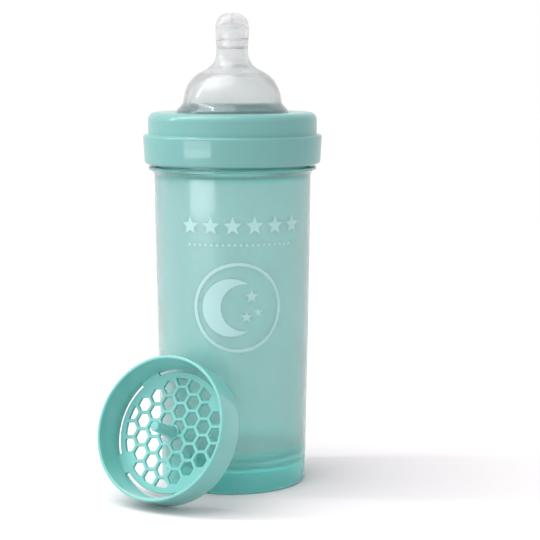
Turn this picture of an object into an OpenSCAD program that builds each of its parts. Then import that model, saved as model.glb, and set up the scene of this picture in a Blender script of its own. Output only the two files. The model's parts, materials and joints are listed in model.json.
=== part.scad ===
// Wide-necked feeding bottle with a two-tier screw collar, a soft teat and a
// loose mixer that leans on the bottle with its open side facing out.
// Millimetres, +Z up. The origin is on the bottle's axis at the level where it
// stands, and the mixer leans on the bottle's front left, towards -X and -Y.

/* [Bottle] */
// Outer radius of the wall where it meets the foot
foot_r = 28.4; // [28:0.1:28.6]
// Outer radius of the wall under the lip
shoulder_r = 30.5; // [30.2:0.05:30.7]
// Wall thickness of the body
wall_t = 1.5; // [1.2:0.1:1.8]
// Height of the top edge of the lip
lip_z = 124.3; // [123.5:0.1:124.5]
// Outer radius of the lip
lip_r = 32.7; // [32:0.1:33]
// Height of the neck's rim
rim_z = 141.2; // [141:0.1:141.2]
// Height of the inside floor
floor_z = 11.5; // [10:0.5:14]
// Thickness of the floor
floor_t = 2.2; // [1.6:0.1:3]
// Thickness of the skirt under the floor
skirt_t = 2.6; // [2.2:0.1:3.2]

/* [Neck] */
// Outer radius of the neck between its threads
neck_r = 30; // [29.9:0.05:30.1]
// Radius of the seat for the mixer inside the neck
seat_r = 27.9; // [27.85:0.05:28]
// Depth of the mixer's seat below the rim
seat_depth = 13; // [12.8:0.1:13.4]
// Radius of the opening inside the seat's ledge
ledge_r = 26.7; // [26:0.1:26.9]

/* [Screw thread] */
// Rise of the thread in one turn
lead = 6; // [5.8:0.1:6.2]
// Width of a thread at its root
thread_root_w = 2.2; // [1.8:0.1:2.3]
// Width of a thread at its crest
thread_crest_w = 1; // [0.8:0.1:1.2]
// Crest radius of the thread outside the neck
neck_crest_r = 32.2; // [31.8:0.1:32.4]
// Crest radius of the thread inside the collar
collar_crest_r = 30.5; // [30.4:0.1:31]

/* [Collar] */
// Radius of the upper tier, which carries a hood
upper_tier_r = 32.85; // [32.7:0.05:33]
// Largest radius of the lower tier, just under the ledge
lower_tier_r = 34.8; // [34.6:0.1:35]
// How much the lower tier narrows towards its bottom edge
lower_taper = 0.5; // [0.3:0.1:0.6]
// Height of the collar's bottom edge
collar_bottom_z = 125.4; // [125.2:0.1:125.6]
// Height of the ledge between the tiers
ledge_z = 136.6; // [136.4:0.1:136.8]
// Height of the collar's top face
collar_top_z = 145.2; // [145:0.1:145.4]
// Radius of the opening that the teat comes through
opening_r = 22.3; // [22.2:0.1:22.6]
// Radius of the rounded top edge
top_round = 3; // [2:0.1:3.2]

/* [Teat] */
// Height of the teat's tip
tip_z = 183.3; // [182.5:0.1:184]
// Radius of the nipple at its bulb
bulb_r = 6.5; // [6.3:0.05:6.8]
// Radius of the nipple at its waist
waist_r = 6.1; // [5.8:0.05:6.3]
// Radius of the dome at its foot
dome_r = 19.1; // [18.9:0.1:19.4]
// Radius of the teat's flared foot
flare_r = 21.7; // [21.5:0.1:21.8]
// Radius of the flange under the collar
flange_r = 29.4; // [28.5:0.1:29.6]
// Wall thickness of the dome
skin_t = 1.6; // [1.4:0.1:1.8]
// Thickness of the tip, which the milk hole goes through
tip_t = 4.2; // [3.5:0.1:4.5]
// Width of the milk hole
milk_hole_d = 0.6; // [0.4:0.1:1]

/* [Mixer] */
// Outer radius of the mixer's ring
mixer_r = 27.6; // [27.2:0.1:27.6]
// Height of the ring
mixer_h = 12.6; // [12:0.1:12.8]
// Depth of the net's face below the open rim
net_depth = 9.5; // [9:0.1:9.8]
// Thickness of the net
net_t = 1.4; // [1.2:0.1:1.6]
// Distance between neighbouring holes
net_pitch = 6.25; // [6:0.05:6.4]
// Width of the web between two holes
web_w = 1.25; // [1.1:0.05:1.5]
// Turn of the rows of holes
net_turn = 8; // [0:1:30]
// Height of the post above the net's face
post_h = 12.4; // [11:0.1:13]
// Lean of the mixer against the bottle
lean = 22; // [20:1:25]
// Place around the bottle where the mixer leans
mixer_turn = -31.4; // [-45:0.2:-20]

/* [Hidden] */

pastel = "#9fd0c8";
teal = "#6fc3b2";
deep_teal = "#4fb0a0";
clear_grey = "#dfe5e4";

foot_round = 1.5;
wall_bulge = 0.22;
flare_h = 3.6;
lip_h = 1.1;
lip_edge = 0.3;
wall_top_z = lip_z - flare_h;
wall_steps = 8;
inside_round = 4;
skirt_round = 1.5;
rim_edge = 0.6;
seat_edge = 0.5;
ledge_t = 1.2;

collar_wall = 1.9;
collar_plate = 1.9;
upper_bore_r = upper_tier_r - 2.1;
lower_bore_r = lower_tier_r - collar_wall;
plate_z = collar_top_z - collar_plate;

neck_thread_turns = 1.05;
collar_thread_turns = 1.1;
collar_thread_start = 60;
thread_steps = 32;
neck_thread_z = 128.2;
flank_offset = 2;
thread_sink = 0.3;
run_in_steps = 3;
run_in_start = 0.35;

bulb_drop = 6.6;
waist_drop = 14.3;
brow_drop = 22.7;
brow_r = 12.5;
dome_z = 149.4;
flare_z = 145.9;
flare_edge = 0.15;
bore_z = 146.8;
neck_bore_r = 4.4;
flange_gap = 0.05;
flange_z = rim_z + flange_gap;
flange_top_z = plate_z - flange_gap;
bezier_steps = 7;

net_z = mixer_h - net_depth - net_t;
ring_round = 1;
rim_round = 0.4;
ring_mouth_r = mixer_r - 1.2;
ring_net_r = mixer_r - 2.8;
slot_w = 1.5;
slot_bridges = 4;
bridge_turn = 37.5;
bridge_w = 8;
holes_r = 21;
hole_limit_r = 21.3;
hole_offset = [-2.65, -1.7];
post_root_r = 2.5;
post_tip_r = 1.8;
post_edge = 0.4;
boss_r = 2.9;
mixer_gap = 0.3;

$fn = 96;

function arc(centre, r, from, to, steps = 6) =
    [for (i = [0:steps]) let (a = from + (to - from) * i / steps) centre + r * [cos(a), sin(a)]];

function bezier(p) =
    [for (i = [0:bezier_steps - 1]) let (t = i / bezier_steps, s = 1 - t)
        s * s * s * p[0] + 3 * s * s * t * p[1] + 3 * s * t * t * p[2] + t * t * t * p[3]];

function reverse(p) = [for (i = [len(p) - 1:-1:0]) p[i]];

// Outer radius of the tapered wall, which bulges a little between foot and shoulder.
function wall_r(z) =
    let (t = z / wall_top_z)
    foot_r + (shoulder_r - foot_r) * t + 4 * wall_bulge * t * (1 - t);

function wall_points(inset_by, from, to) =
    [for (i = [0:wall_steps]) let (z = from + (to - from) * i / wall_steps) [wall_r(z) - inset_by, z]];

// A thread ridge along a right-handed helix, from its root radius out or in to its crest radius.
module thread(root, crest, z, from, to) {
    steps = round(thread_steps * (to - from) / 360);
    sink = root < crest ? -thread_sink : thread_sink;
    rings = [for (i = [0:steps]) let (a = from + (to - from) * i / steps, run = min(i, steps - i) / run_in_steps,
            c = root + sink + (crest - root - sink) * min(1, run_in_start + (1 - run_in_start) * run), h = z + lead * a / 360)
        for (q = [[root + sink, -thread_root_w / 2], [c, -thread_crest_w / 2],
                  [c, thread_crest_w / 2], [root + sink, thread_root_w / 2]])
            [q[0] * cos(a), q[0] * sin(a), h + q[1]]];
    sides = [for (i = [0:steps - 1], k = [0:3]) let (a = 4 * i + k, b = 4 * i + (k + 1) % 4)
        each [[a, a + 4, b], [b, a + 4, b + 4]]];
    last = 4 * steps;
    ends = [[0, 1, 2], [0, 2, 3], [last, last + 2, last + 1], [last, last + 3, last + 2]];
    faces = concat(sides, ends);
    polyhedron(rings, root < crest ? [for (f = faces) reverse(f)] : faces);
}

module bottle_shell() {
    inner_r = wall_r(floor_z) - wall_t;
    skirt_r = foot_r - skirt_t;
    ledge_z = rim_z - seat_depth;
    rotate_extrude()
        polygon(concat(
            [[skirt_r, 0]],
            arc([wall_r(foot_round) - foot_round, foot_round], foot_round, -90, 0),
            wall_points(0, 2 * foot_round, wall_top_z),
            [[(shoulder_r + lip_r) / 2 - 0.5, lip_z - flare_h / 2], [lip_r, lip_z - lip_h]],
            arc([lip_r - lip_edge, lip_z - lip_edge], lip_edge, 0, 90, 3),
            [[neck_r, lip_z]],
            arc([neck_r - rim_edge, rim_z - rim_edge], rim_edge, 0, 90),
            [[seat_r + seat_edge, rim_z], [seat_r, rim_z - seat_edge]],
            [[seat_r, ledge_z], [ledge_r, ledge_z], [ledge_r, ledge_z - ledge_t]],
            reverse(wall_points(wall_t, floor_z + inside_round, lip_z - flare_h)),
            arc([inner_r - inside_round, floor_z + inside_round], inside_round, 0, -90),
            [[0, floor_z], [0, floor_z - floor_t]],
            arc([skirt_r - skirt_round, floor_z - floor_t - skirt_round], skirt_round, 90, 0, 4)
        ));
}

module bottle_body() {
    color(pastel) union() {
        bottle_shell();
        thread(neck_r, neck_crest_r, neck_thread_z, 0, 360 * neck_thread_turns);
    }
}

module collar_shell() {
    bottom_r = lower_tier_r - lower_taper;
    rotate_extrude()
        polygon(concat(
            [[lower_bore_r, collar_bottom_z + 0.6], [lower_bore_r + 0.6, collar_bottom_z]],
            arc([bottom_r - 1.2, collar_bottom_z + 1.2], 1.2, -90, 0),
            arc([lower_tier_r - 0.9, ledge_z - 0.9], 0.9, 0, 90),
            arc([upper_tier_r + 0.4, ledge_z + 0.4], 0.4, 270, 180, 3),
            arc([upper_tier_r - top_round, collar_top_z - top_round], top_round, 0, 90, 9),
            arc([opening_r + 0.4, collar_top_z - 0.4], 0.4, 90, 180, 3),
            [[opening_r, plate_z], [upper_bore_r, plate_z], [upper_bore_r, ledge_z - 0.4]],
            [[lower_bore_r, ledge_z - collar_wall]]
        ));
}

module collar() {
    color(teal) union() {
        collar_shell();
        thread(lower_bore_r, collar_crest_r, neck_thread_z - flank_offset,
               collar_thread_start, collar_thread_start + 360 * collar_thread_turns);
    }
}

// The teat's outside, from its tip down to its flared foot.
function teat_outside() =
    let (bulb_z = tip_z - bulb_drop, waist_z = tip_z - waist_drop, brow_z = tip_z - brow_drop)
    concat(
        bezier([[0, tip_z], [0.62 * bulb_r, tip_z], [bulb_r, tip_z - 1.4], [bulb_r, bulb_z]]),
        bezier([[bulb_r, bulb_z], [bulb_r, bulb_z - 2.5], [waist_r, waist_z + 2.8], [waist_r, waist_z]]),
        bezier([[waist_r, waist_z], [waist_r, waist_z - 4.8], [8.1, brow_z + 1.9], [brow_r, brow_z]]),
        bezier([[brow_r, brow_z], [15.8, brow_z - 1.8], [dome_r - 0.4, brow_z - 5.8], [dome_r, dome_z]]),
        bezier([[dome_r, dome_z], [dome_r, dome_z - 1], [flare_r - 1, flare_z + 1.1], [flare_r, flare_z]]),
        [[flare_r + flare_edge, flare_z - 0.4]]
    );

// The teat's inside, from its thick foot up through the dome and the neck to its thick tip.
function teat_inside() =
    let (bore_r = dome_r - skin_t, top_z = tip_z - tip_t, neck_z = tip_z - waist_drop, brow_z = tip_z - brow_drop)
    concat(
        [[bore_r, flange_z]],
        bezier([[bore_r, bore_z], [bore_r, bore_z + 1], [bore_r, dome_z - 1], [bore_r, dome_z]]),
        bezier([[bore_r, dome_z], [bore_r - 0.4, brow_z - 6.4], [14.4, brow_z - 3.4], [11.2, brow_z - 1.9]]),
        bezier([[11.2, brow_z - 1.9], [6.6, brow_z + 0.4], [neck_bore_r, brow_z + 3], [neck_bore_r, neck_z]]),
        bezier([[neck_bore_r, neck_z], [neck_bore_r, neck_z + 4], [4.8, top_z - 5.3], [4.8, top_z - 3]]),
        bezier([[4.8, top_z - 3], [4.8, top_z - 0.8], [3.4, top_z], [0, top_z]]),
        [[0, top_z]]
    );

module teat() {
    color(clear_grey) difference() {
        rotate_extrude()
            polygon(concat(
                teat_outside(),
                [[flare_r + flare_edge, flange_top_z], [flange_r, flange_top_z], [flange_r, flange_z]],
                teat_inside()
            ));
        translate([0, 0, tip_z - tip_t - 1]) cylinder(d = milk_hole_d, h = tip_t + 2, $fn = 24);
    }
}

// Puts the mixer, drawn with its back at z = 0 and its mouth up, where it leans on the bottle.
module lean_on_bottle() {
    edge_r = mixer_r - ring_round;
    back_z = edge_r * cos(lean) + ring_round * (1 - sin(lean));
    touch_z = 2 * edge_r * cos(lean) + ring_round;
    back_y = wall_r(touch_z) + mixer_gap + edge_r * sin(lean) + ring_round * (1 - cos(lean));
    rotate([0, 0, mixer_turn]) translate([0, -back_y, back_z]) rotate([90 - lean, 0, 0]) children();
}

module mixer_ring() {
    color(deep_teal) lean_on_bottle()
        rotate_extrude()
            polygon(concat(
                [[ring_net_r + 1, 0]],
                arc([mixer_r - ring_round, ring_round], ring_round, -90, 0),
                arc([mixer_r - rim_round, mixer_h - rim_round], rim_round, 0, 90, 3),
                arc([ring_mouth_r + rim_round, mixer_h - rim_round], rim_round, 90, 180, 3),
                [[ring_net_r, net_z + net_t], [ring_net_r, net_z]]
            ));
}

module hex_hole(centre) {
    translate(centre) rotate(net_turn) circle(d = (net_pitch - web_w) / cos(30), $fn = 6);
}

// Hexagonal holes in staggered rows, cut off at the edge of the perforated field.
module hole_field() {
    rows = ceil(2 * hole_limit_r / net_pitch);
    column_step = net_pitch * cos(30);
    intersection() {
        circle(r = holes_r);
        union() {
            for (i = [-rows:rows], j = [-rows:rows]) {
                place = [i * column_step, (j + 0.5 * (i % 2)) * net_pitch];
                turned = [place[0] * cos(net_turn) - place[1] * sin(net_turn),
                          place[0] * sin(net_turn) + place[1] * cos(net_turn)];
                if (norm(turned + hole_offset) < hole_limit_r) hex_hole(turned + hole_offset);
            }
        }
    }
}

module mixer_net() {
    color(deep_teal) lean_on_bottle() translate([0, 0, net_z])
        linear_extrude(net_t) {
            difference() {
                circle(r = ring_net_r - slot_w);
                hole_field();
            }
            circle(r = boss_r);
            intersection() {
                difference() {
                    circle(r = ring_net_r);
                    circle(r = ring_net_r - slot_w - 0.5);
                }
                for (k = [0:slot_bridges - 1])
                    rotate(bridge_turn + k * 360 / slot_bridges)
                        translate([0, -bridge_w / 2]) square([mixer_r, bridge_w]);
            }
        }
}

module mixer_post() {
    color(deep_teal) lean_on_bottle() translate([0, 0, net_z + net_t])
        rotate_extrude()
            polygon(concat(
                [[0, 0], [post_root_r, 0]],
                arc([post_tip_r - post_edge, post_h - post_edge], post_edge, 0, 90, 4),
                [[0, post_h]]
            ));
}

bottle_body();
collar();
teat();
mixer_ring();
mixer_net();
mixer_post();
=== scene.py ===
"""Looks of the feeding bottle, its screw collar, its soft teat and the mixer that leans on it.

Outlines are in millimetres, and every mesh is scaled to metres when it is made. The bottle, the collar
and the teat are drawn round the frame's Z axis. The mixer is drawn upright and then moved to where it
leans.
"""

import json
import math

import bmesh
import bpy
from mathutils import Matrix, Vector


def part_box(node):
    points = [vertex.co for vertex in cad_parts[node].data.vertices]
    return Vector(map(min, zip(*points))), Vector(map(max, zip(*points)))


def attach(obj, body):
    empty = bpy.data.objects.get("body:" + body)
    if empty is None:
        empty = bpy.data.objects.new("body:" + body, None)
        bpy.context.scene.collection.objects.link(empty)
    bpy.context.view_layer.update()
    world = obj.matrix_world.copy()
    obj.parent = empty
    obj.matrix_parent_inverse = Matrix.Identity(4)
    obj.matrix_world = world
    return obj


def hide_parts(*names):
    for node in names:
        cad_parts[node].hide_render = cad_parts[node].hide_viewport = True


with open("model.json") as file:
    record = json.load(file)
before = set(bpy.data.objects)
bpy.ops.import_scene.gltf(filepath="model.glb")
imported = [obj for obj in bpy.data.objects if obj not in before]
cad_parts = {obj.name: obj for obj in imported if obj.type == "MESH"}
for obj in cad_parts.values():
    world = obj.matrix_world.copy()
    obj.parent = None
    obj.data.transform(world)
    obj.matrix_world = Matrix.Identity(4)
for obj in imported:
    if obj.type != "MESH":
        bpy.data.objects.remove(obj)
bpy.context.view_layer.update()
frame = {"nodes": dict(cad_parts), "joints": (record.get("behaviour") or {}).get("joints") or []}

MM = 0.001
ROUND_STEPS = 180
AXIS_R = 1e-6
CREASE = math.radians(32)

# Places that the CAD model fixes, in millimetres
body_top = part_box("bottle_body")[1] / MM
collar_low, collar_top = [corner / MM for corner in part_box("collar")]
teat_low, teat_top = [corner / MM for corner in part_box("teat")]
rim_z = body_top.z
lip_r = body_top.x

# Bottle
foot_r = 28.4
shoulder_r = 30.5
neck_r = 30.0
wall_t = 1.5
wall_bulge = 0.22
lip_z = 124.3
lip_h = 1.05
lip_edge = 0.3
flare_h = 3.6
wall_top_z = lip_z - flare_h
floor_z = 11.5
floor_t = 2.2
floor_fillet = 4.0
foot_edge = 1.5
skirt_t = 2.6
skirt_edge = 0.4
skirt_fillet = 1.5
rim_outer_edge = 0.6
rim_inner_edge = 0.5
seat_r = 27.9
seat_depth = 13.0
ledge_r = 26.7
ledge_h = 1.2
ledge_edge = 0.3

# Screw thread
lead = 6.0
neck_thread_turns = 1.05
collar_thread_turns = 1.1
neck_thread_z = 128.2
neck_crest_r = 32.2
collar_crest_r = 30.5
thread_root_h = 2.2
thread_flank_h = 1.36
thread_crest_h = 0.76
thread_flank_share = 0.75
thread_sink = 0.3
run_in_steps = 8
run_in_start = 0.2

# Collar
upper_tier_r = 32.85
ledge_z = 136.6
collar_wall = 1.9
upper_wall = 2.1
plate_t = 1.9
opening_r = 22.3
opening_edge = 0.5
bore_edge = 0.5
bore_step = 0.4
lower_edge = 1.2
lower_draft = 0.5
ledge_edge_r = 0.9
step_fillet = 0.4
shoulder_edge = 3.0
collar_thread_start = 60
collar_thread_drop = 2.0

# Teat
bulb_r = 6.5
waist_r = 6.1
dome_r = 19.1
flare_r = 21.7
brow_r = 12.5
skin_t = 1.6
tip_t = 4.2
milk_hole_r = 0.3
bulb_drop = 6.6
waist_drop = 14.3
brow_drop = 22.7
dome_z = 149.4
flare_z = 145.9
flare_step = 0.15
flange_gap = 0.05
flange_edge = 0.5
foot_bore_step = 0.9
brow_bore_r = 11.2
neck_bore_r = 4.4
nipple_bore_r = 4.8
rib_h = 1.0
rib_depth = 0.4

# Mixer, drawn with its back at z = 0 and its mouth up
mixer_r = 27.6
mixer_h = 12.6
mixer_edge = 1.0
mixer_back_edge = 0.3
mixer_lip_edge = 0.45
mixer_lip_t = 0.3
net_z = 1.7
net_t = 1.4
net_top_z = net_z + net_t
ring_net_r = 24.8
net_pitch = 6.25
web_w = 1.25
net_turn = math.radians(8)
hole_offset = Vector((-2.65, -1.7))
hole_corner_r = 0.5
holes_r = 21.0
furthest_hole = 21.3
hole_rows = 8
slot_w = 1.5
bridge_turn = 37.5
bridge_half_angle = 9.5
bridge_reach = 0.2
net_edge_steps = 240
net_chamfer = 0.2
post_root_r = 2.9
post_r = 2.3
post_tip_r = 1.8
post_h = 12.4
post_edge = 0.4
post_steps = 48
post_overlap = 0.02


def arc(centre, r, start, end, steps=8):
    """Points along an arc, from one angle to another, in degrees."""
    turns = [math.radians(start + (end - start) * i / steps) for i in range(steps + 1)]
    return [(centre[0] + r * math.cos(a), centre[1] + r * math.sin(a)) for a in turns]


def bezier(p0, p1, p2, p3, steps=14):
    """Points along a Bezier curve, without its last one."""
    points = []
    for i in range(steps):
        t = i / steps
        weights = ((1 - t) ** 3, 3 * (1 - t) ** 2 * t, 3 * (1 - t) * t * t, t ** 3)
        points.append(tuple(sum(w * p[k] for w, p in zip(weights, (p0, p1, p2, p3))) for k in (0, 1)))
    return points


def wall_r(z):
    """Outer radius of the bottle's tapered wall at a height."""
    t = z / wall_top_z
    return foot_r + (shoulder_r - foot_r) * t + 4 * wall_bulge * t * (1 - t)


def wall_line(inset, start, end, steps=24):
    """Points up or down the bottle's wall, set in from its outside."""
    heights = [start + (end - start) * i / steps for i in range(steps + 1)]
    return [(wall_r(z) - inset, z) for z in heights]


def add_vert(bm, r, a, z):
    """Adds a vertex at a radius, an angle and a height in millimetres."""
    return bm.verts.new((r * math.cos(a) * MM, r * math.sin(a) * MM, z * MM))


def add_revolved(bm, outline, steps=ROUND_STEPS):
    """Adds the solid that a closed outline sweeps round the Z axis."""
    turns = [2 * math.pi * k / steps for k in range(steps)]
    rings = []
    for r, z in outline:
        if r < AXIS_R:
            rings.append([bm.verts.new((0, 0, z * MM))] * steps)
        else:
            rings.append([add_vert(bm, r, a, z) for a in turns])
    for ring, following in zip(rings, rings[1:] + rings[:1]):
        for k in range(steps):
            j = (k + 1) % steps
            corners = list(dict.fromkeys((ring[k], ring[j], following[j], following[k])))
            if len(corners) > 2:
                bm.faces.new(corners)


def add_thread(bm, root, crest, z, start, turns, steps_per_turn=72):
    """Adds a right-handed helical ridge that fades in and out at its ends."""
    steps = round(steps_per_turn * turns)
    sink = thread_sink if root < crest else -thread_sink
    root_h, flank_h, crest_h = thread_root_h / 2, thread_flank_h / 2, thread_crest_h / 2
    rings = []
    for i in range(steps + 1):
        a = math.radians(start) + 2 * math.pi * turns * i / steps
        h = z + lead * a / (2 * math.pi)
        grown = min(1.0, run_in_start + (1 - run_in_start) * min(i, steps - i) / run_in_steps)
        tip = root + (crest - root) * grown
        flank = root + (tip - root) * thread_flank_share
        section = [(root - sink, -root_h), (flank, -flank_h), (tip, -crest_h),
                   (tip, crest_h), (flank, flank_h), (root - sink, root_h)]
        rings.append([add_vert(bm, r, a, h + dz) for r, dz in section])
    for ring, following in zip(rings, rings[1:]):
        for k in range(len(ring)):
            j = (k + 1) % len(ring)
            bm.faces.new((ring[k], ring[j], following[j], following[k]))
    bm.faces.new(rings[0])
    bm.faces.new(rings[-1])


def make_object(name, bm, material, crease=CREASE):
    """Turns a finished bmesh into an object with smooth shading between its creases."""
    bmesh.ops.recalc_face_normals(bm, faces=bm.faces)
    mesh = bpy.data.meshes.new(name)
    bm.to_mesh(mesh)
    bm.free()
    mesh.polygons.foreach_set("use_smooth", [True] * len(mesh.polygons))
    mesh.set_sharp_from_angle(angle=crease)
    mesh.materials.append(material)
    obj = bpy.data.objects.new(name, mesh)
    bpy.context.scene.collection.objects.link(obj)
    return obj


# Materials, with the sizes of their textures in metres

mottle_size = 0.03
mottle_range = (0.3, 0.7)
gloss_size = 0.008
gloss_spread = 0.12
peel_size = 0.0006
peel_height = 0.00002
peel_strength = 0.05


def moulded(name, colour, roughness, mottle=0.03, bands=(), **sockets):
    """A moulded surface: faint flow mottling in its colour, patchy gloss and a fine peel in its skin.

    The bands are heights in millimetres with a tint at each, blended in between.
    """
    material = bpy.data.materials.new(name)
    material.use_nodes = True
    tree = material.node_tree
    shader = tree.nodes["Principled BSDF"]
    place = tree.nodes.new("ShaderNodeTexCoord")

    def noise(size, detail):
        node = tree.nodes.new("ShaderNodeTexNoise")
        node.inputs["Scale"].default_value = 1 / size
        node.inputs["Detail"].default_value = detail
        tree.links.new(place.outputs["Object"], node.inputs["Vector"])
        return node.outputs["Fac"]

    shades = tree.nodes.new("ShaderNodeValToRGB")
    low_shade, high_shade = shades.color_ramp.elements
    low_shade.position, high_shade.position = mottle_range
    low_shade.color = [c * (1 - mottle) for c in colour] + [1]
    high_shade.color = [min(1, c * (1 + mottle)) for c in colour] + [1]
    tree.links.new(noise(mottle_size, 3), shades.inputs["Fac"])
    shade = shades.outputs["Color"]
    if bands:
        height = tree.nodes.new("ShaderNodeSeparateXYZ")
        tree.links.new(place.outputs["Object"], height.inputs["Vector"])
        tints = tree.nodes.new("ShaderNodeValToRGB")
        scale = tree.nodes.new("ShaderNodeMapRange")
        scale.inputs["From Max"].default_value = bands[-1][0] * MM
        tree.links.new(height.outputs["Z"], scale.inputs["Value"])
        tree.links.new(scale.outputs["Result"], tints.inputs["Fac"])
        stops = [(z / bands[-1][0], tint) for z, tint in bands]
        ramp = tints.color_ramp
        while len(ramp.elements) < len(stops):
            ramp.elements.new(1.0)
        for element, (position, tint) in zip(ramp.elements, stops):
            element.position = position
            element.color = (*tint, 1)
        mix = tree.nodes.new("ShaderNodeMix")
        mix.data_type = "RGBA"
        mix.blend_type = "MULTIPLY"
        mix.inputs["Factor"].default_value = 1
        tree.links.new(shade, mix.inputs["A"])
        tree.links.new(tints.outputs["Color"], mix.inputs["B"])
        shade = mix.outputs["Result"]
    tree.links.new(shade, shader.inputs["Base Color"])

    gloss = tree.nodes.new("ShaderNodeMapRange")
    gloss.inputs["To Min"].default_value = roughness * (1 - gloss_spread)
    gloss.inputs["To Max"].default_value = roughness * (1 + gloss_spread)
    tree.links.new(noise(gloss_size, 4), gloss.inputs["Value"])
    tree.links.new(gloss.outputs["Result"], shader.inputs["Roughness"])

    bump = tree.nodes.new("ShaderNodeBump")
    bump.inputs["Strength"].default_value = peel_strength
    bump.inputs["Distance"].default_value = peel_height
    tree.links.new(noise(peel_size, 2), bump.inputs["Height"])
    tree.links.new(bump.outputs["Normal"], shader.inputs["Normal"])

    for socket, value in sockets.items():
        shader.inputs[socket.replace("_", " ")].default_value = value
    return material


# Tints of the bottle along its wall, at its foot and floor, and from its lip up. The deeper teal at the
# foot and floor is partly the thicker plastic's own tint and partly painted shade of the hollow under the
# floor seen through the wall.
thin_wall = (1, 0.84, 0.84)
thick_wall_and_painted_shade = (0.62, 1, 0.98)
lip_wall = (0.72, 0.84, 0.82)
bottle_plastic = moulded(
    "bottle_plastic", (0.505, 0.9, 0.87), 0.24,
    bands=[(0, thick_wall_and_painted_shade), (floor_z + 1, thick_wall_and_painted_shade), (floor_z + 6.5, thin_wall),
           (wall_top_z - 1.4, thin_wall), (wall_top_z - 0.5, lip_wall), (rim_z, lip_wall)],
    Transmission_Weight=0.75, IOR=1.45, Specular_IOR_Level=0.28,
    Coat_Weight=0.29, Coat_Roughness=0.06,
    Subsurface_Weight=1.0, Subsurface_Radius=(0.6, 1.0, 0.95), Subsurface_Scale=0.003)
collar_plastic = moulded(
    "collar_plastic", (0.13, 0.325, 0.31), 0.4,
    Specular_IOR_Level=0.3, Coat_Weight=0.45, Coat_Roughness=0.07)
tip_bottom_z = teat_top.z - tip_t
clear = (1, 1, 1)
# The teat's foot and flare are tinted teal: painted light, standing in for the teal light of the collar
# and bottle that shines through the clear silicone.
painted_foot_light = (0.76, 1, 1)
solid_tip = (0.78, 0.79, 0.8)
teat_silicone = moulded(
    "teat_silicone", (0.85, 0.865, 0.87), 0.2, mottle=0.01,
    bands=[(0, painted_foot_light), (flare_z + 1, painted_foot_light), (dome_z - 0.8, clear), (tip_bottom_z - 0.6, clear),
           (tip_bottom_z + 0.2, solid_tip), (teat_top.z, solid_tip)],
    Transmission_Weight=0.9, IOR=1.41, Specular_IOR_Level=0.4,
    Coat_Weight=0.4, Coat_Roughness=0.09,
    Subsurface_Weight=1.0, Subsurface_Radius=(1, 1, 1), Subsurface_Scale=0.003)
mixer_plastic = moulded(
    "mixer_plastic", (0.19, 0.57, 0.535), 0.3,
    Transmission_Weight=0.3, IOR=1.49, Coat_Weight=0.7, Coat_Roughness=0.1)
print_white = moulded("print_white", (0.34, 0.54, 0.54), 0.4, mottle=0.05)


# Bottle

def bottle_outline():
    """Closed outline of the bottle: up its outside, over the rim, down its inside and round the foot."""
    inner_r = wall_r(floor_z) - wall_t
    skirt_r = foot_r - skirt_t
    ledge = rim_z - seat_depth
    return (
        arc((skirt_r + skirt_edge, skirt_edge), skirt_edge, 180, 270, 4)
        + arc((wall_r(foot_edge) - foot_edge, foot_edge), foot_edge, -90, 0)
        + wall_line(0, 2 * foot_edge, wall_top_z)
        + bezier((shoulder_r, wall_top_z + 0.1), (shoulder_r + 0.1, wall_top_z + 1),
                 (shoulder_r + 0.6, wall_top_z + 2), (lip_r - 0.1, lip_z - lip_h - 0.1), 8)
        + [(lip_r, lip_z - lip_h)]
        + arc((lip_r - lip_edge, lip_z - lip_edge), lip_edge, 0, 90)
        + [(neck_r + lip_edge, lip_z), (neck_r, lip_z + lip_edge)]
        + arc((neck_r - rim_outer_edge, rim_z - rim_outer_edge), rim_outer_edge, 0, 90)
        + arc((seat_r + rim_inner_edge, rim_z - rim_inner_edge), rim_inner_edge, 90, 180)
        + [(seat_r, ledge), (ledge_r + ledge_edge, ledge), (ledge_r, ledge - ledge_edge)]
        + [(ledge_r, ledge - ledge_h)]
        + wall_line(wall_t, lip_z - 2, floor_z + floor_fillet)
        + arc((inner_r - floor_fillet, floor_z + floor_fillet), floor_fillet, 0, -90, 12)
        + [(0, floor_z), (0, floor_z - floor_t)]
        + arc((skirt_r - skirt_fillet, floor_z - floor_t - skirt_fillet), skirt_fillet, 90, 0)
    )


def make_bottle():
    bm = bmesh.new()
    add_revolved(bm, bottle_outline())
    add_thread(bm, neck_r, neck_crest_r, neck_thread_z, 0, neck_thread_turns)
    obj = make_object("bottle", bm, bottle_plastic)
    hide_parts("bottle_body")
    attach(obj, "bottle")


# Prints on the bottle, drawn as distance round the wall and height

star_row = (-16.2, 103.5)
star_count = 6
star_pitch = 8.4
star_r = 3.6
dot_row = (-16.5, 96.4)
dot_count = 19
dot_pitch = 2.25
dot_r = 0.55
badge = (2.6, 72.7)
badge_r = 17.1
badge_line = 1.2
moon_r = 11
moon_bite_r = 9
moon_bite_offset = 5.1
moon_shift = -2.7
# Each star's place from the middle of the badge, and its size
badge_stars = ((5.2, 4.2, 2.7), (7.8, -1.8, 1.9), (3.2, -3.6, 2.3))


def star(centre, r, points=5, inner_share=0.45):
    """Outline of a star."""
    corners = []
    for k in range(2 * points):
        a = math.pi / 2 + math.pi * k / points
        reach = r if k % 2 == 0 else inner_share * r
        corners.append((centre[0] + reach * math.cos(a), centre[1] + reach * math.sin(a)))
    return corners


def crescent(centre, r, bite_r, bite_offset):
    """Outline of a crescent moon: a disc with a smaller disc bitten out of its right side."""
    reach = (r * r - bite_r * bite_r + bite_offset * bite_offset) / (2 * bite_offset)
    horn = math.degrees(math.acos(reach / r))
    bite = math.degrees(math.acos((reach - bite_offset) / bite_r))
    return (arc(centre, r, horn, 360 - horn, 48)
            + arc((centre[0] + bite_offset, centre[1]), bite_r, -bite, bite - 360, 40)[1:-1])


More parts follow.
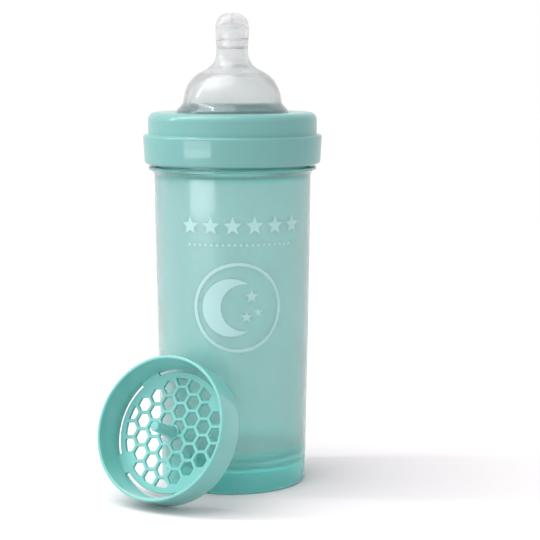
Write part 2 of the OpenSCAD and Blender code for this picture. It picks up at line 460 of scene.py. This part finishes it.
def add_print(bm, outline, facing=-90, lift=0.05, sink=0.1, strip=1.0):
    """Adds a thin printed shape that follows the bottle's wall, from its flat outline in millimetres."""
    flat = bmesh.new()
    loop = [flat.verts.new((u, v, 0)) for u, v in outline]
    edges = [flat.edges.new(pair) for pair in zip(loop, loop[1:] + loop[:1])]
    bmesh.ops.triangle_fill(flat, use_beauty=True, edges=edges)
    left, right = min(u for u, _ in outline), max(u for u, _ in outline)
    for i in range(1, math.ceil((right - left) / strip)):
        bmesh.ops.bisect_plane(flat, geom=flat.verts[:] + flat.edges[:] + flat.faces[:],
                               plane_co=(left + i * strip, 0, 0), plane_no=(1, 0, 0))
    for face in flat.faces:
        if face.normal.z < 0:
            face.normal_flip()

    def on_wall(vert, height):
        u, v, _ = vert.co
        r = wall_r(v) + height
        a = math.radians(facing) + u / wall_r(v)
        return add_vert(bm, r, a, v)

    flat.verts.ensure_lookup_table()
    tops = {v: on_wall(v, lift) for v in flat.verts}
    bottoms = {v: on_wall(v, -sink) for v in flat.verts}
    for face in flat.faces:
        bm.faces.new([tops[v] for v in face.verts])
        bm.faces.new([bottoms[v] for v in reversed(face.verts)])
    for edge in flat.edges:
        if len(edge.link_faces) == 1:
            a, b = edge.verts
            bm.faces.new((tops[a], tops[b], bottoms[b], bottoms[a]))
    flat.free()


def make_prints():
    """A generic night sky on the front: a row of stars, a dotted line, and a ringed moon and stars."""
    bm = bmesh.new()
    for k in range(star_count):
        add_print(bm, star((star_row[0] + star_pitch * k, star_row[1]), star_r))
    for k in range(dot_count):
        add_print(bm, arc((dot_row[0] + dot_pitch * k, dot_row[1]), dot_r, 0, 345, 23))
    for start in (0, 180):
        add_print(bm, arc(badge, badge_r, start, start + 180, 48)
                  + arc(badge, badge_r - badge_line, start + 180, start, 48))
    add_print(bm, crescent((badge[0] + moon_shift, badge[1]), moon_r, moon_bite_r, moon_bite_offset))
    for across, up, r in badge_stars:
        add_print(bm, star((badge[0] + across, badge[1] + up), r))
    obj = make_object("night_sky_print", bm, print_white)
    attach(obj, "bottle")


# Collar

def collar_outline():
    """Closed outline of the collar: out along its bottom edge, up both tiers and down its inside."""
    low_z, top_z, low_r = collar_low.z, collar_top.z, collar_top.x
    bore_r = low_r - collar_wall
    upper_bore_r = upper_tier_r - upper_wall
    plate_z = top_z - plate_t
    return (
        arc((bore_r + bore_edge, low_z + bore_edge), bore_edge, 180, 270, 4)
        + arc((low_r - lower_draft - lower_edge, low_z + lower_edge), lower_edge, -90, 0)
        + arc((low_r - ledge_edge_r, ledge_z - ledge_edge_r), ledge_edge_r, 0, 90)
        + arc((upper_tier_r + step_fillet, ledge_z + step_fillet), step_fillet, 270, 180, 4)
        + arc((upper_tier_r - shoulder_edge, top_z - shoulder_edge), shoulder_edge, 0, 90, 16)
        + arc((opening_r + opening_edge, top_z - opening_edge), opening_edge, 90, 180, 6)
        + [(opening_r, plate_z), (upper_bore_r, plate_z), (upper_bore_r, ledge_z - bore_step)]
        + [(bore_r, ledge_z - collar_wall)]
    )


def make_collar():
    bm = bmesh.new()
    add_revolved(bm, collar_outline())
    add_thread(bm, collar_top.x - collar_wall, collar_crest_r, neck_thread_z - collar_thread_drop,
               collar_thread_start, collar_thread_turns)
    obj = make_object("screw_collar", bm, collar_plastic)
    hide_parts("collar")
    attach(obj, "collar")


# Teat

def teat_outside():
    """The teat's outside, from its tip down to its flared foot."""
    tip = teat_top.z
    bulb_z, waist_z, brow_z = tip - bulb_drop, tip - waist_drop, tip - brow_drop
    return (
        bezier((milk_hole_r, tip), (0.62 * bulb_r, tip), (bulb_r, tip - 1.4), (bulb_r, bulb_z))
        + bezier((bulb_r, bulb_z), (bulb_r, bulb_z - 2.5), (waist_r, waist_z + 2.8), (waist_r, waist_z))
        + bezier((waist_r, waist_z), (waist_r, waist_z - 4.8), (8.1, brow_z + 1.9), (brow_r, brow_z))
        + bezier((brow_r, brow_z), (15.8, brow_z - 1.8), (dome_r - 0.4, brow_z - 5.8), (dome_r, dome_z))
        + bezier((dome_r, dome_z), (dome_r, dome_z - 1), (flare_r - 1, flare_z + 1.1), (flare_r, flare_z))
        + [(flare_r + flare_step, flare_z - 0.4)]
    )


def rib(r, z):
    """Points over a small rounded rib inside the nipple, on the way up."""
    half, deep = rib_h / 2, rib_depth
    return [(r, z - half), (r - 0.3 * deep, z - 0.7 * half), (r - deep, z - 0.2 * half),
            (r - deep, z + 0.2 * half), (r - 0.3 * deep, z + 0.7 * half), (r, z + half)]


def teat_inside():
    """The teat's inside, from its thick foot up through the dome and the ribbed neck to its thick tip."""
    bore_r = dome_r - skin_t
    foot_bore_r = bore_r + foot_bore_step
    top_z, neck_z, brow_z = tip_bottom_z, teat_top.z - waist_drop, teat_top.z - brow_drop
    brow = (brow_bore_r, brow_z - 1.9)
    return (
        [(foot_bore_r, teat_low.z)]
        + bezier((foot_bore_r, flare_z), (foot_bore_r, dome_z - 2.4), (bore_r + 0.1, dome_z - 1),
                 (bore_r, dome_z), 6)
        + bezier((bore_r, dome_z), (bore_r - 0.4, brow_z - 6.4), (14.4, brow_z - 3.4), brow)
        + bezier(brow, (6.6, brow_z + 0.4), (neck_bore_r, brow_z + 3), (neck_bore_r, neck_z))
        + rib(neck_bore_r, neck_z + 1)
        + rib(neck_bore_r + 0.1, neck_z + 4.2)
        + bezier((4.6, neck_z + 5), (4.7, neck_z + 6), (nipple_bore_r, top_z - 4),
                 (nipple_bore_r, top_z - 3))
        + bezier((nipple_bore_r, top_z - 3), (nipple_bore_r, top_z - 0.8), (3.4, top_z),
                 (milk_hole_r, top_z))
        + [(milk_hole_r, top_z)]
    )


def make_teat():
    plate_z = collar_top.z - plate_t - flange_gap
    flange_r = teat_top.x
    bm = bmesh.new()
    add_revolved(
        bm,
        teat_outside()
        + [(flare_r + flare_step, plate_z)]
        + arc((flange_r - flange_edge, plate_z - flange_edge), flange_edge, 90, 0, 4)
        + arc((flange_r - flange_edge, teat_low.z + flange_edge), flange_edge, 0, -90, 4)
        + teat_inside())
    obj = make_object("soft_teat", bm, teat_silicone)
    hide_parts("teat")
    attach(obj, "teat")


# Mixer

def mixer_place():
    """The matrix from the mixer's own frame, back at z = 0 and mouth up, to where it leans."""
    joint = next(j for j in frame["joints"] if j["name"] == "mixer_draw_off")
    out = Vector(joint["axis"]).normalized()
    across = Vector((0, 0, 1)).cross(out).normalized()
    up = out.cross(across)
    ring = [v.co for v in frame["nodes"]["mixer_ring"].data.vertices]
    spans = [[axis.dot(co) for co in ring] for axis in (across, up)]
    centre = [(min(span) + max(span)) / 2 for span in spans]
    back = min(out.dot(co) for co in ring)
    origin = across * centre[0] + up * centre[1] + out * back
    turn = Matrix((across, up, out)).transposed().to_4x4()
    return Matrix.Translation(origin) @ turn


def clip_to_circle(points, r, sides=72):
    """The part of a convex polygon that is inside a circle about the origin."""
    for k in range(sides):
        a = 2 * math.pi * k / sides
        out = Vector((math.cos(a), math.sin(a)))
        kept = []
        for p, q in zip(points, points[1:] + points[:1]):
            over_p, over_q = out.dot(p) - r, out.dot(q) - r
            if over_p <= 0:
                kept.append(p)
            if over_p * over_q < 0:
                kept.append(p.lerp(q, over_p / (over_p - over_q)))
        points = kept
    return points


def rounded(points, r, steps=4, straight=math.radians(20)):
    """A polygon with its corners rounded, where they turn by more than a little."""
    result = []
    for before, p, after in zip(points[-1:] + points[:-1], points, points[1:] + points[:1]):
        back, ahead = before - p, after - p
        if back.length < 1e-4 or ahead.length < 1e-4 or back.angle(ahead) > math.pi - straight:
            result.append(p)
            continue
        cut = min(r / math.tan(back.angle(ahead) / 2), 0.45 * back.length, 0.45 * ahead.length)
        a, b = p + back.normalized() * cut, p + ahead.normalized() * cut
        for i in range(steps + 1):
            t = i / steps
            result.append((1 - t) ** 2 * a + 2 * t * (1 - t) * p + t * t * b)
    return result


def hole_loops():
    """Outlines of the net's holes: hexagons in staggered rows, cut off at the edge of the field."""
    across = (net_pitch - web_w) / math.cos(math.radians(30)) / 2
    step = net_pitch * math.cos(math.radians(30))
    turn = Matrix.Rotation(net_turn, 2)
    loops = []
    spokes = [turn @ Vector((across * math.cos(k * math.pi / 3), across * math.sin(k * math.pi / 3)))
              for k in range(6)]
    for i in range(-hole_rows, hole_rows + 1):
        for j in range(-hole_rows, hole_rows + 1):
            centre = turn @ Vector((i * step, (j + 0.5 * (i % 2)) * net_pitch)) + hole_offset
            if centre.length < furthest_hole:
                corners = [centre + spoke for spoke in spokes]
                loops.append(rounded(clip_to_circle(corners, holes_r), hole_corner_r))
    return loops


def net_edge():
    """The net's outer edge: a circle with four bridges that reach the ring."""
    points = []
    for k in range(net_edge_steps):
        a = 2 * math.pi * k / net_edge_steps
        off_bridge = abs((math.degrees(a) - bridge_turn + 45) % 90 - 45)
        r = ring_net_r + bridge_reach if off_bridge < bridge_half_angle else ring_net_r - slot_w
        points.append(Vector((r * math.cos(a), r * math.sin(a))))
    return points


def add_plate(bm, edge, holes, low, high, soften):
    """Adds a flat plate with holes, its edges softened by a small chamfer."""
    levels = ((high, soften), (high - soften, 0), (low + soften, 0), (low, soften))
    rims = {low: [], high: []}
    for loop, sign in [(edge, -1)] + [(hole, 1) for hole in holes]:
        middle = sum(loop, Vector((0, 0))) / len(loop)
        reach = sum((p - middle).length for p in loop) / len(loop)
        rings = []
        for z, grow in levels:
            scale = 1 + sign * grow / reach
            rings.append([bm.verts.new((*(middle + (p - middle) * scale) * MM, z * MM)) for p in loop])
        for ring, following in zip(rings, rings[1:]):
            for k in range(len(ring)):
                j = (k + 1) % len(ring)
                bm.faces.new((ring[k], ring[j], following[j], following[k]))
        for z, ring in ((high, rings[0]), (low, rings[-1])):
            rims[z] += [bm.edges.get((ring[k], ring[(k + 1) % len(ring)])) for k in range(len(ring))]
    for edges in rims.values():
        bmesh.ops.triangle_fill(bm, use_beauty=True, edges=edges)


def make_mixer():
    place = mixer_place()
    edge_r, edge_z = mixer_r - mixer_lip_edge, mixer_h - mixer_lip_edge
    ring = bmesh.new()
    add_revolved(
        ring,
        arc((ring_net_r + 1 + mixer_back_edge, mixer_back_edge), mixer_back_edge, 180, 270, 3)
        + arc((mixer_r - mixer_edge, mixer_edge), mixer_edge, -90, 0)
        + arc((edge_r, edge_z), mixer_lip_edge, 0, 90, 5)
        + arc((edge_r - mixer_lip_t, edge_z), mixer_lip_edge, 90, 180, 5)
        + bezier((mixer_r - 1.3, mixer_h - 2), (mixer_r - 1.5, mixer_h - 5), (ring_net_r + 0.1, net_z + 4),
                 (ring_net_r, net_top_z), 8)
        + [(ring_net_r, net_top_z), (ring_net_r, net_z)])
    net = bmesh.new()
    add_plate(net, net_edge(), hole_loops(), net_z, net_top_z, net_chamfer)
    post = bmesh.new()
    root_z = net_top_z + post_overlap
    add_revolved(
        post,
        [(0, net_z - post_overlap), (post_root_r, net_z - post_overlap), (post_root_r, root_z)]
        + bezier((post_root_r, root_z), (2.5, net_top_z + 0.1), (2.4, net_top_z + 0.6),
                 (post_r, net_top_z + 2), 6)
        + arc((post_tip_r - post_edge, net_top_z + post_h - post_edge), post_edge, 0, 90, 5)
        + [(0, net_top_z + post_h)], post_steps)
    for name, bm, node in (("mixer_cup", ring, "mixer_ring"), ("honeycomb_net", net, "mixer_net"),
                           ("mixing_post", post, "mixer_post")):
        bm.transform(place)
        obj = make_object(name, bm, mixer_plastic)
        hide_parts(node)
        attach(obj, "mixer")


# Studio, with its places in metres

floor_half_size = 4
strip_place = (-0.478, -0.502)
camera_place = (0.0146, -0.64, 0.1667)
camera_tilt = math.radians(90 - 7.43)


def make_floor():
    bm = bmesh.new()
    bmesh.ops.create_grid(bm, x_segments=4, y_segments=4, size=floor_half_size)
    paper = moulded("paper", (0.68, 0.655, 0.67), 0.9, mottle=0.005)
    obj = make_object("floor", bm, paper)


def make_lights():
    """White surroundings, a soft sun from the left, and three strips for the gloss to reflect."""
    scene = bpy.context.scene
    world = bpy.data.worlds.new("studio")
    world.use_nodes = True
    background = world.node_tree.nodes["Background"]
    background.inputs["Color"].default_value = (1, 1, 1, 1)
    background.inputs["Strength"].default_value = 1.0
    scene.world = world
    scene.view_settings.view_transform = "Standard"

    def add_lamp(name, kind, place, target, **settings):
        lamp = bpy.data.lights.new(name, kind)
        for setting, value in settings.items():
            setattr(lamp, setting, value)
        obj = bpy.data.objects.new(name, lamp)
        obj.location = place
        obj.rotation_euler = (Vector(target) - Vector(place)).to_track_quat("-Z", "Y").to_euler()
        scene.collection.objects.link(obj)

    add_lamp("sun", "SUN", (-0.4, -0.14, 0.9), (0, 0, 0), energy=1.9, angle=math.radians(56))
    for name, height, energy in (("low_strip", 0.052, 0.54), ("middle_strip", 0.102, 0.34)):
        add_lamp(name, "AREA", (*strip_place, height), (0, 0, height), energy=energy,
                 shape="RECTANGLE", size=0.46, size_y=0.05)
    add_lamp("high_strip", "AREA", (-0.42, 0, 0.5), (0, 0, 0.15), energy=1.4,
             shape="RECTANGLE", size=0.03, size_y=0.6)


def make_camera():
    camera = bpy.data.cameras.new("camera")
    camera.sensor_width = 36
    camera.lens = 109.3
    obj = bpy.data.objects.new("camera", camera)
    obj.location = camera_place
    obj.rotation_euler = (camera_tilt, 0, 0)
    bpy.context.scene.collection.objects.link(obj)
    bpy.context.scene.camera = obj


make_bottle()
make_prints()
make_collar()
make_teat()
make_mixer()
make_floor()
make_lights()
make_camera()
